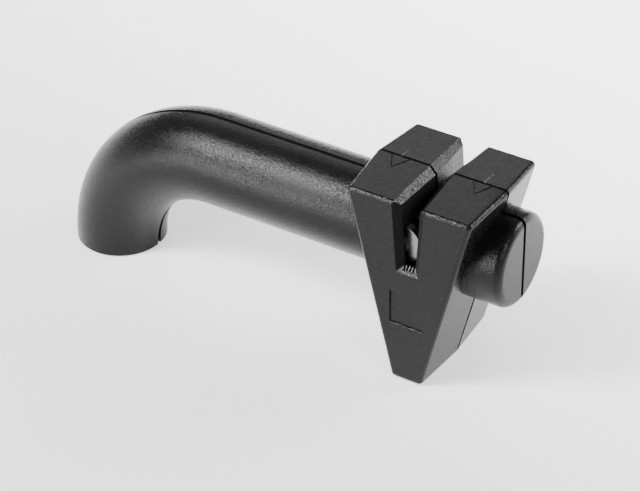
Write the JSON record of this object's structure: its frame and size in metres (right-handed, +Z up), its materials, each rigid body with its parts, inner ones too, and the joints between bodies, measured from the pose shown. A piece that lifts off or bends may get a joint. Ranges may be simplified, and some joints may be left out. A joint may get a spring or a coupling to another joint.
{
  "type": "pull through knife sharpener",
  "caption": "Knife sharpener with a bent tubular handle and a wedge-shaped slotted head; a blade is drawn through the slot between two interleaved steel disc rollers.",
  "frame": {"origin": "bottom centre of the whole object, on the surface that it stands on", "axes": "+X along the handle towards the nose, +Y from the front face to the rear face, +Z up"},
  "size_m": [0.185, 0.046, 0.0749],
  "materials": {
    "housing": "satin with a fine moulded grain",
    "hardened_steel": "ground and polished",
    "plain_steel": "zinc plated",
    "spacer_plastic": "moulded",
    "washer_plastic": "moulded acetal",
    "pad_rubber": "matt"
  },
  "bodies": {
    "housing": {"front_shell": "housing", "handle_foot_pad": "pad_rubber", "head_foot_pad": "pad_rubber", "left_axle": "plain_steel", "left_front_washer": "washer_plastic", "left_rear_washer": "washer_plastic", "rear_shell": "housing", "right_axle": "plain_steel", "right_front_washer": "washer_plastic", "right_rear_washer": "washer_plastic", "shell_screws": "plain_steel"},
    "left_roller": {"left_disc_1": "hardened_steel", "left_disc_2": "hardened_steel", "left_disc_3": "hardened_steel", "left_disc_4": "hardened_steel", "left_disc_5": "hardened_steel", "left_disc_6": "hardened_steel", "left_hub": "spacer_plastic", "left_spacer_1": "spacer_plastic", "left_spacer_2": "spacer_plastic", "left_spacer_3": "spacer_plastic", "left_spacer_4": "spacer_plastic", "left_spacer_5": "spacer_plastic"},
    "right_roller": {"right_disc_1": "hardened_steel", "right_disc_2": "hardened_steel", "right_disc_3": "hardened_steel", "right_disc_4": "hardened_steel", "right_disc_5": "hardened_steel", "right_front_end_spacer": "spacer_plastic", "right_hub": "spacer_plastic", "right_rear_end_spacer": "spacer_plastic", "right_spacer_1": "spacer_plastic", "right_spacer_2": "spacer_plastic", "right_spacer_3": "spacer_plastic", "right_spacer_4": "spacer_plastic"}
  },
  "joints": [
    {"name": "left_roller_spin", "type": "hinge", "parent": "housing", "child": "left_roller", "pos_m": [0.0553, 0, 0.05375], "axis": [0, 1, 0], "continuous": true},
    {"name": "right_roller_spin", "type": "hinge", "parent": "housing", "child": "right_roller", "pos_m": [0.0665, 0, 0.05375], "axis": [0, 1, 0], "continuous": true}
  ]
}
